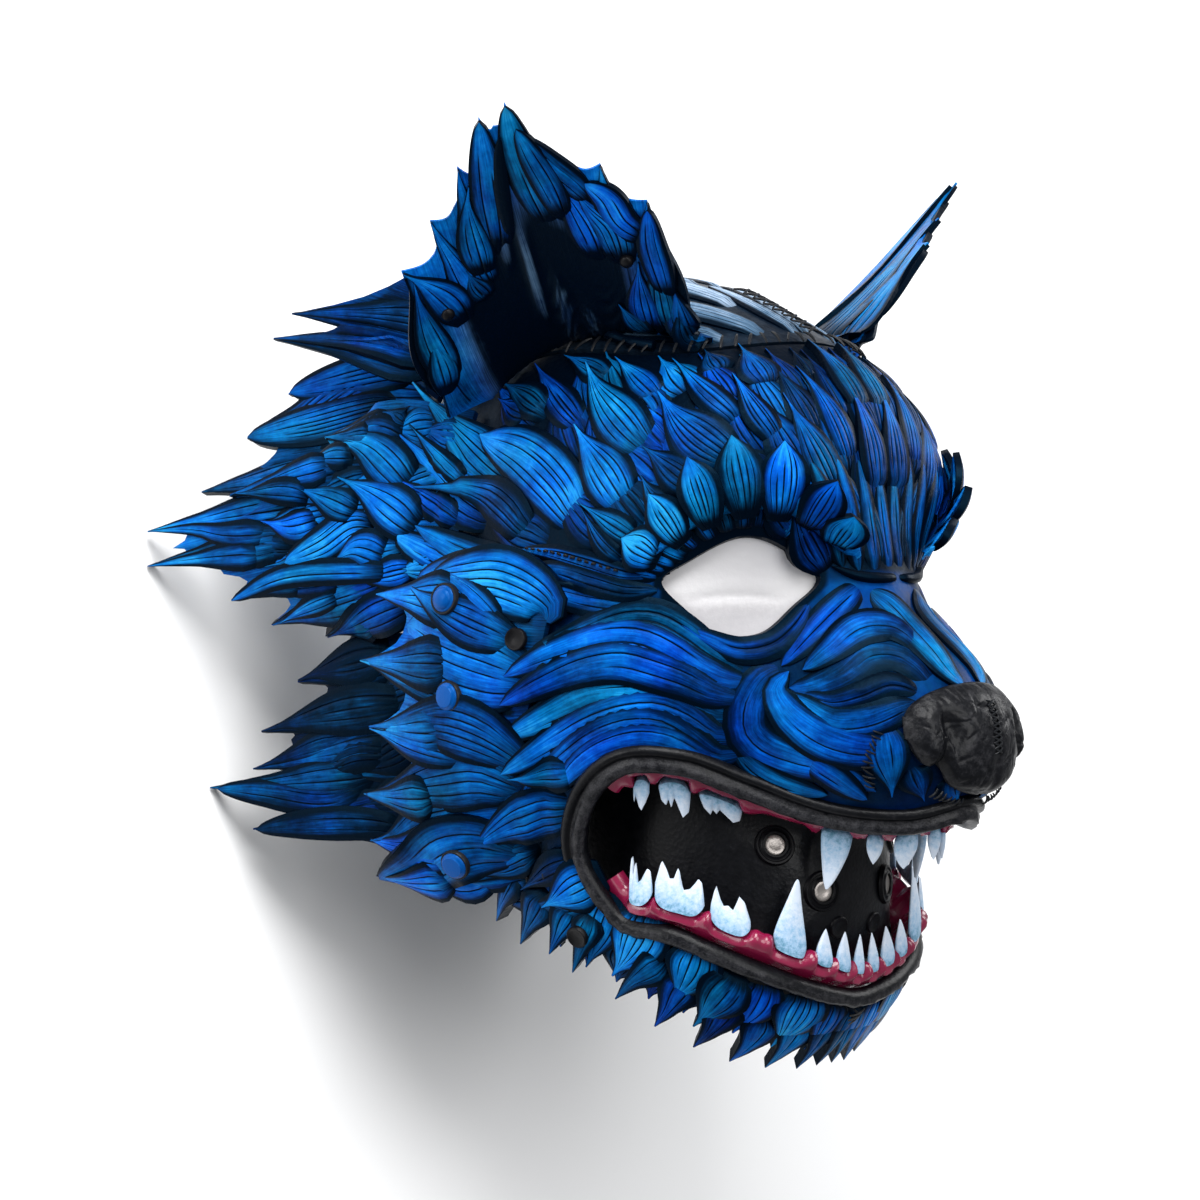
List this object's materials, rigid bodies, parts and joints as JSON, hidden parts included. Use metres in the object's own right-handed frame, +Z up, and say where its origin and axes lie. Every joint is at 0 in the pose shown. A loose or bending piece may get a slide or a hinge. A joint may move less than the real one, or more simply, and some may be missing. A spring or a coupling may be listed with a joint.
{
  "type": "leather werewolf mask",
  "caption": "Whole-head werewolf mask of carved and dyed leather with open jaws, upright ears and a ragged mane, lying on its back.",
  "frame": {"origin": "middle of the footprint, on the surface the mask lies on", "axes": "+Z up, out of the face; +Y towards the crown of the head; -X towards the wolf's right"},
  "size_m": [0.321, 0.4016, 0.3427],
  "materials": {
    "blue_leather": "hand-dyed ultramarine and azure, black in the cuts, semi-gloss",
    "dark_blue_leather": "hand-dyed dark blue, semi-gloss",
    "grey_leather": "blue-grey wash, satin",
    "black_leather": "black, polished",
    "gum_crimson": "painted crimson, glossy",
    "tooth_white": "painted ice white with grey shading",
    "eye_white": "plain matt white"
  },
  "bodies": {
    "root": {"face": "blue_leather", "crown": "grey_leather", "jaw": "blue_leather", "neck_panel": "grey_leather", "lip": "black_leather", "gum_upper": "gum_crimson", "gum_lower": "gum_crimson", "mouth_guard": "black_leather", "nose": "black_leather", "ear_right": "blue_leather", "ear_left": "blue_leather", "ear_tuft_right": "blue_leather", "ear_tuft_left": "blue_leather", "mane_upper_right": "blue_leather", "mane_upper_left": "blue_leather", "mane_back_right": "blue_leather", "mane_back_left": "blue_leather", "mane_lower_right": "dark_blue_leather", "mane_lower_left": "dark_blue_leather", "cheek_right": "blue_leather", "cheek_left": "blue_leather", "brow_tuft_right": "blue_leather", "brow_tuft_left": "blue_leather", "eye_blank_right": "eye_white", "eye_blank_left": "eye_white", "snap_top_right": "dark_blue_leather", "snap_top_left": "dark_blue_leather", "snap_middle_right": "dark_blue_leather", "snap_middle_left": "dark_blue_leather", "snap_low_right": "dark_blue_leather", "snap_low_left": "dark_blue_leather", "upper_incisor_inner_right": "tooth_white", "upper_incisor_inner_left": "tooth_white", "upper_incisor_middle_right": "tooth_white", "upper_incisor_middle_left": "tooth_white", "upper_incisor_outer_right": "tooth_white", "upper_incisor_outer_left": "tooth_white", "upper_canine_right": "tooth_white", "upper_canine_left": "tooth_white", "upper_molar_front_right": "tooth_white", "upper_molar_front_left": "tooth_white", "upper_molar_middle_right": "tooth_white", "upper_molar_middle_left": "tooth_white", "upper_molar_back_right": "tooth_white", "upper_molar_back_left": "tooth_white", "lower_incisor_inner_right": "tooth_white", "lower_incisor_inner_left": "tooth_white", "lower_incisor_middle_right": "tooth_white", "lower_incisor_middle_left": "tooth_white", "lower_incisor_outer_right": "tooth_white", "lower_incisor_outer_left": "tooth_white", "lower_canine_right": "tooth_white", "lower_canine_left": "tooth_white", "lower_molar_front_right": "tooth_white", "lower_molar_front_left": "tooth_white", "lower_molar_middle_right": "tooth_white", "lower_molar_middle_left": "tooth_white", "lower_molar_back_right": "tooth_white", "lower_molar_back_left": "tooth_white"}
  },
  "joints": []
}
